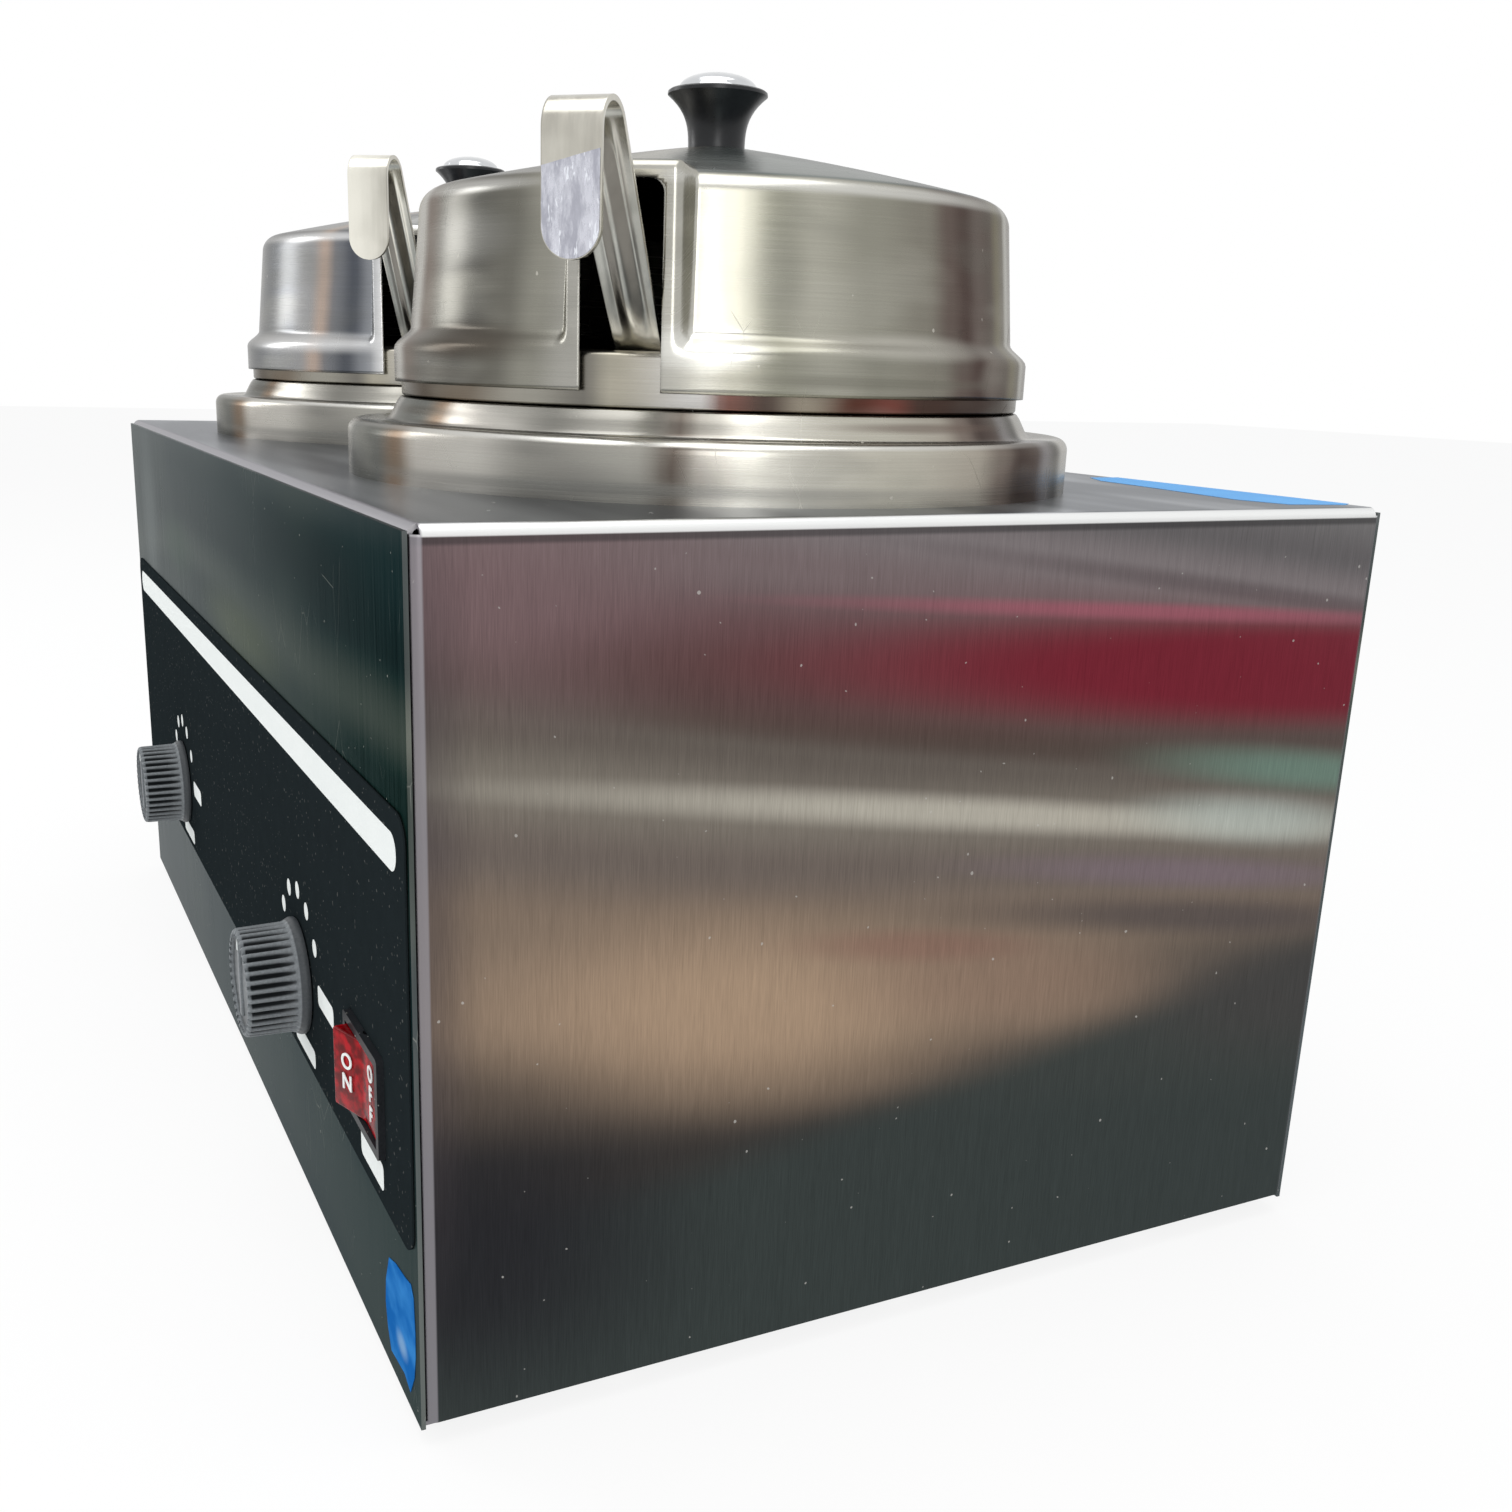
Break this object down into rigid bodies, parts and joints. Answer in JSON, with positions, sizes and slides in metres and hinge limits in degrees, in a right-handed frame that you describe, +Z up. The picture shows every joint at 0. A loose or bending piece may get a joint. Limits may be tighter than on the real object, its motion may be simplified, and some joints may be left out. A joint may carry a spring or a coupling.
{
  "type": "countertop topping warmer",
  "caption": "Twin countertop topping warmer: a brushed steel casing with two water wells, lift-out insets, notched domed lids with knobs, hooked ladles, heat dials and a rocker switch.",
  "frame": {"origin": "middle of the overall box, on the worktop under the feet", "axes": "+X to the right-hand unit and the switch, -Y out of the control panel, +Z up"},
  "size_m": [0.425, 0.2686, 0.2966],
  "materials": {
    "casing_steel": "vertical brushed stainless sheet",
    "panel_steel": "brushed stainless sheet, a little darker",
    "film_black": "satin black graphic film",
    "foot_rubber": "matt black rubber",
    "screw_steel": "plated steel",
    "spun_steel": "spun satin stainless with round brush marks",
    "ladle_steel": "polished stainless strip",
    "knob_black": "glossy black phenolic",
    "cap_chrome": "polished chrome",
    "dial_grey": "satin dark grey plastic",
    "housing_black": "satin black plastic",
    "rocker_red": "translucent red plastic",
    "lamp_glass": "neon lamp",
    "brass": "bare brass",
    "copper": "bare copper",
    "heater_sheath": "heat-darkened sheath",
    "phenolic": "moulded cream plastic",
    "glass_wool": "glass wool blanket",
    "wire_cover": "silicone wire cover"
  },
  "bodies": {
    "base": {"body_wrap": "casing_steel", "front_panel": "panel_steel", "rear_panel": "casing_steel", "bottom_pan": "casing_steel", "control_film": "film_black", "rubber_feet": "foot_rubber", "foot_screws": "screw_steel", "front_nuts": "screw_steel", "rear_screws": "screw_steel", "bottom_screws": "screw_steel", "collar_right": "spun_steel", "collar_left": "spun_steel", "water_well_right": "spun_steel", "water_well_left": "spun_steel", "insulation_right": "glass_wool", "insulation_left": "glass_wool", "heater_right": "heater_sheath", "heater_left": "heater_sheath", "heater_bar_right": "screw_steel", "heater_bar_left": "screw_steel", "heater_nuts": "screw_steel", "thermostat_right": "phenolic", "thermostat_left": "phenolic", "thermostat_nuts": "brass", "capillary_right": "copper", "capillary_left": "copper", "bulb_clips": "screw_steel", "switch_housing": "housing_black", "switch_tabs": "brass", "pilot_lamp": "lamp_glass", "terminal_block": "phenolic", "terminal_screws": "brass", "earth_stud": "brass", "wiring": "wire_cover", "cord_bushing": "foot_rubber"},
    "right_inset": {"inset_right": "spun_steel"},
    "right_lid": {"lid_right": "spun_steel", "lid_knob_right": "knob_black", "knob_cap_right": "cap_chrome", "lid_screw_right": "screw_steel"},
    "right_ladle": {"ladle_right": "ladle_steel"},
    "right_dial": {"dial_knob_right": "dial_grey", "dial_shaft_right": "screw_steel"},
    "left_inset": {"inset_left": "spun_steel"},
    "left_lid": {"lid_left": "spun_steel", "lid_knob_left": "knob_black", "knob_cap_left": "cap_chrome", "lid_screw_left": "screw_steel"},
    "left_ladle": {"ladle_left": "ladle_steel"},
    "left_dial": {"dial_knob_left": "dial_grey", "dial_shaft_left": "screw_steel"},
    "rocker": {"power_rocker": "rocker_red"}
  },
  "joints": [
    {"name": "right_inset_lift", "type": "slide", "parent": "base", "child": "right_inset", "axis": [0, 0, 1], "range_m": [0, 0.2]},
    {"name": "right_lid_lift", "type": "slide", "parent": "right_inset", "child": "right_lid", "axis": [0, 0, 1], "range_m": [0, 0.12]},
    {"name": "right_ladle_draw", "type": "slide", "parent": "right_inset", "child": "right_ladle", "axis": [0.3786, -0.3708, 0.848], "range_m": [0, 0.14]},
    {"name": "right_dial_turn", "type": "hinge", "parent": "base", "child": "right_dial", "pos_m": [0.103, -0.11775, 0.0675], "axis": [0, 1, 0], "range_deg": [-180, 90]},
    {"name": "left_inset_lift", "type": "slide", "parent": "base", "child": "left_inset", "axis": [0, 0, 1], "range_m": [0, 0.2]},
    {"name": "left_lid_lift", "type": "slide", "parent": "left_inset", "child": "left_lid", "axis": [0, 0, 1], "range_m": [0, 0.12]},
    {"name": "left_ladle_draw", "type": "slide", "parent": "left_inset", "child": "left_ladle", "axis": [0.3791, -0.2898, 0.8788], "range_m": [0, 0.14]},
    {"name": "left_dial_turn", "type": "hinge", "parent": "base", "child": "left_dial", "pos_m": [-0.103, -0.11775, 0.0675], "axis": [0, 1, 0], "range_deg": [-180, 90]},
    {"name": "rocker_tilt", "type": "hinge", "parent": "base", "child": "rocker", "pos_m": [0.1732, -0.11725, 0.0685], "axis": [0, 0, -1], "range_deg": [0, 18]}
  ]
}
